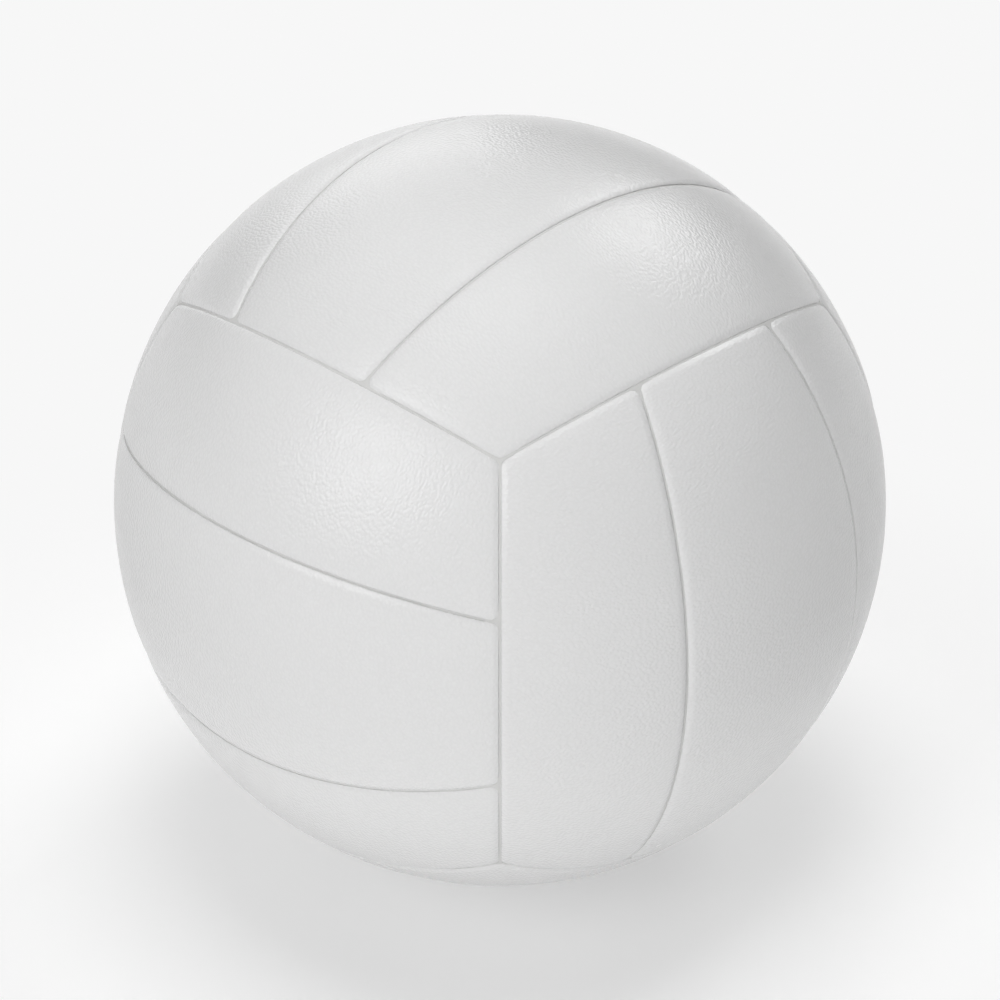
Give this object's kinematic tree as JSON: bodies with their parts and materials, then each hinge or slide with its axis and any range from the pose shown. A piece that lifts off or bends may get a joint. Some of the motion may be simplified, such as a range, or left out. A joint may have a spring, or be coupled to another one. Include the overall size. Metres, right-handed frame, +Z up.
{
  "type": "volleyball",
  "caption": "Plain white indoor volleyball: bonded strip panels over foam pads, with a rubber carcass, thread winding, butyl bladder and needle valve.",
  "frame": {"origin": "centre of the ball", "axes": "+Z up through the middle panel of the top face, -Y towards the front face, whose panels run left to right, and +Y out through the valve"},
  "size_m": [0.21, 0.21, 0.21],
  "materials": {
    "cover_skin": "satin",
    "foam": "matte",
    "carcass_rubber": "matte",
    "nylon_thread": "satin",
    "butyl_rubber": "satin",
    "patch_rubber": "matte",
    "housing_rubber": "satin",
    "plug_rubber": "satin"
  },
  "bodies": {
    "root": {"top_cover_left": "cover_skin", "top_cover_middle": "cover_skin", "top_cover_right": "cover_skin", "bottom_cover_left": "cover_skin", "bottom_cover_middle": "cover_skin", "bottom_cover_right": "cover_skin", "right_cover_front": "cover_skin", "right_cover_middle": "cover_skin", "right_cover_rear": "cover_skin", "left_cover_front": "cover_skin", "left_cover_middle": "cover_skin", "left_cover_rear": "cover_skin", "back_cover_lower": "cover_skin", "back_cover_middle": "cover_skin", "back_cover_upper": "cover_skin", "front_cover_lower": "cover_skin", "front_cover_middle": "cover_skin", "front_cover_upper": "cover_skin", "top_foam_left": "foam", "top_foam_middle": "foam", "top_foam_right": "foam", "bottom_foam_left": "foam", "bottom_foam_middle": "foam", "bottom_foam_right": "foam", "right_foam_front": "foam", "right_foam_middle": "foam", "right_foam_rear": "foam", "left_foam_front": "foam", "left_foam_middle": "foam", "left_foam_rear": "foam", "back_foam_lower": "foam", "back_foam_middle": "foam", "back_foam_upper": "foam", "front_foam_lower": "foam", "front_foam_middle": "foam", "front_foam_upper": "foam", "carcass": "carcass_rubber", "thread_winding": "nylon_thread", "bladder": "butyl_rubber", "valve_patch": "patch_rubber", "valve_housing": "housing_rubber", "valve_plug": "plug_rubber"}
  },
  "joints": []
}
